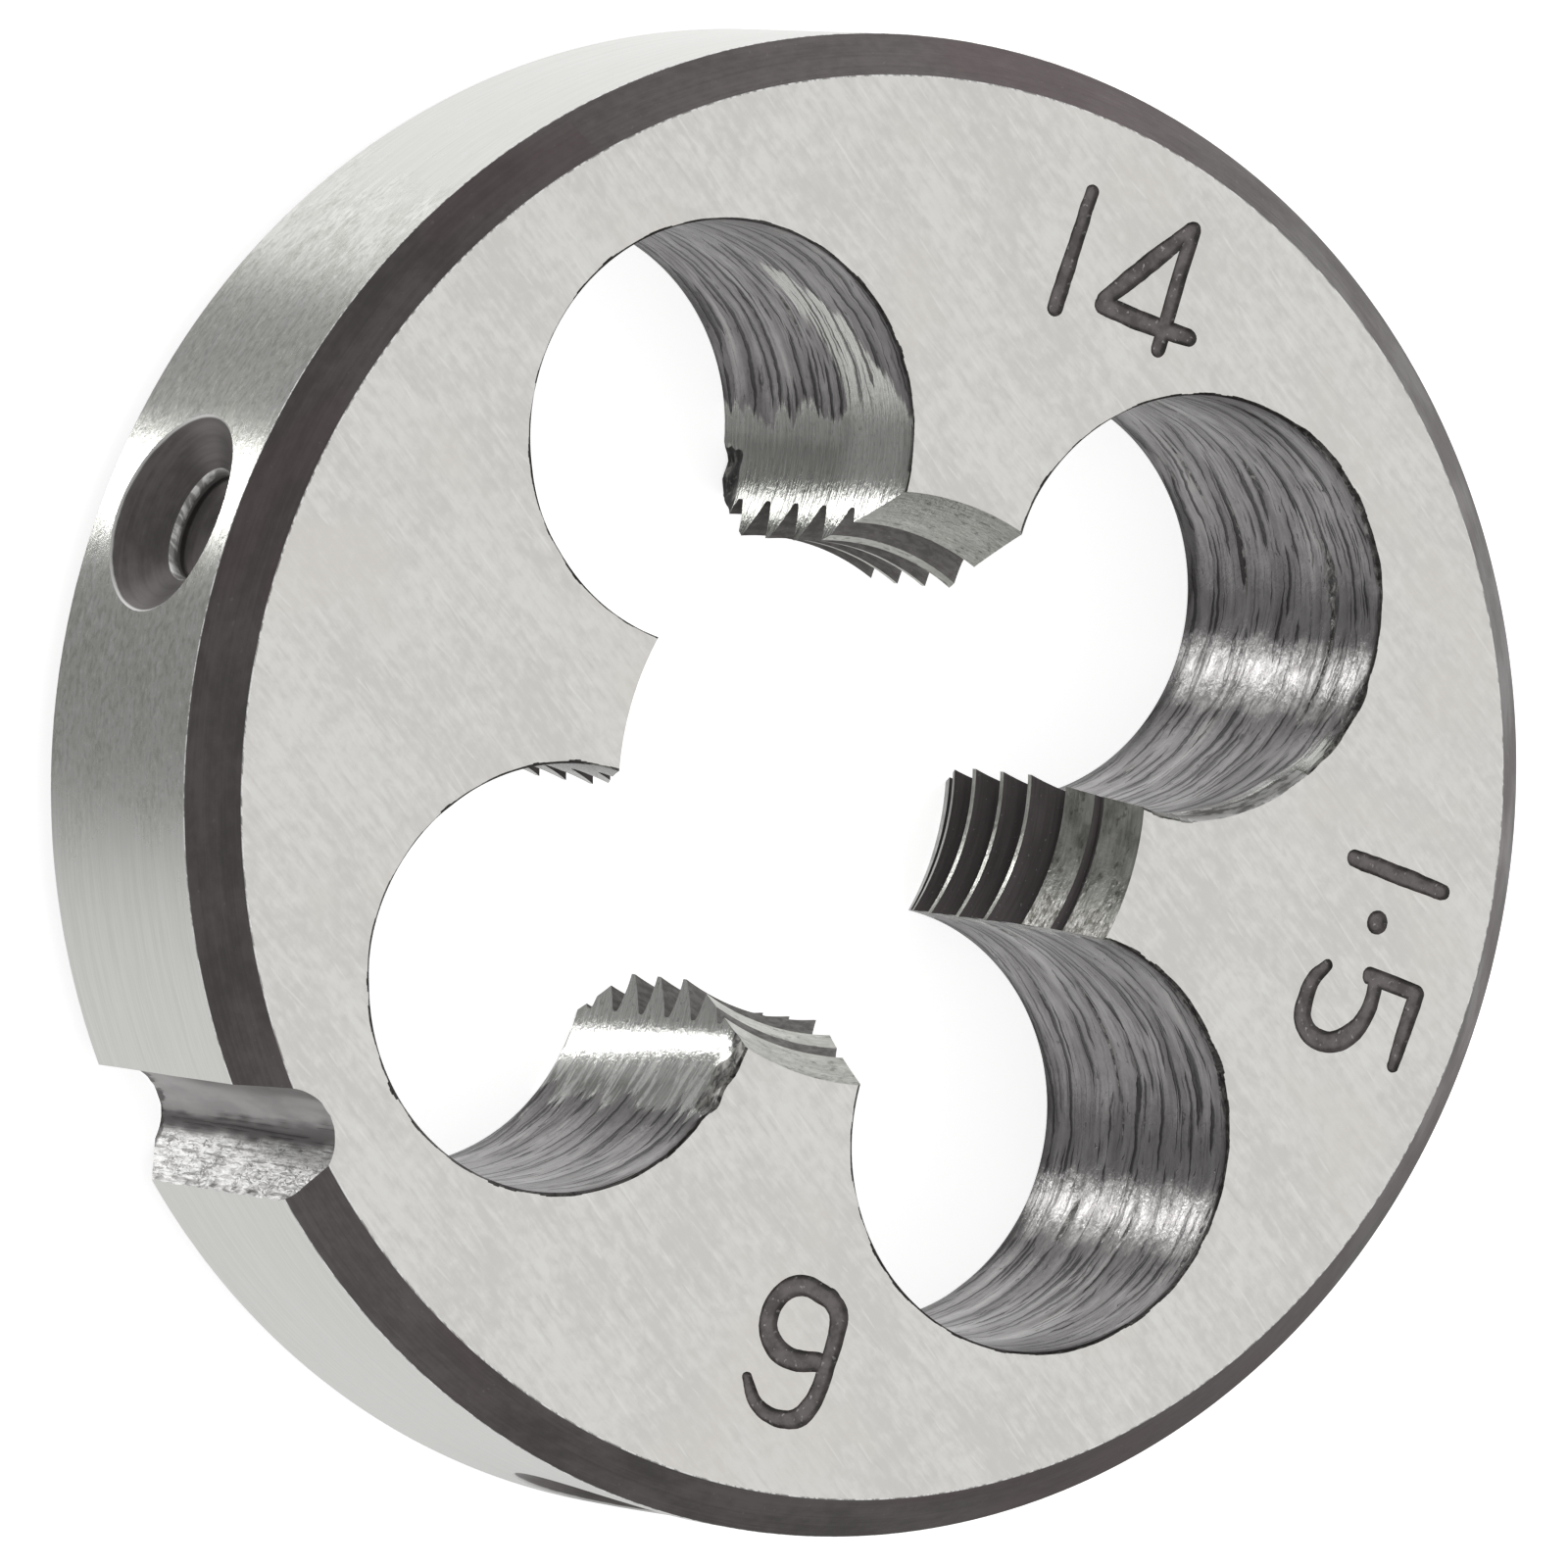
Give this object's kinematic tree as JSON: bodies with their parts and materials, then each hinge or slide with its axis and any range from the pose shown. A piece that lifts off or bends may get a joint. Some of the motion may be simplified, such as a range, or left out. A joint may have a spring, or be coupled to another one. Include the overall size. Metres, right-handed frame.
{
  "type": "round threading die",
  "caption": "Round steel threading die: chip holes open into a threaded bore, with a V notch and conical set-screw recesses in a chamfered rim.",
  "frame": {"origin": "centre of the plain face that the die lies on, on the thread axis", "axes": "+Z along the thread axis towards the marked face, -Y towards the V notch in the rim"},
  "size_m": [0.038, 0.0379, 0.01],
  "materials": {
    "tool_steel": "ground faces and rim, dark rim chamfers, rough drilled chip holes"
  },
  "bodies": {
    "root": {"die_body": "tool_steel"}
  },
  "joints": []
}
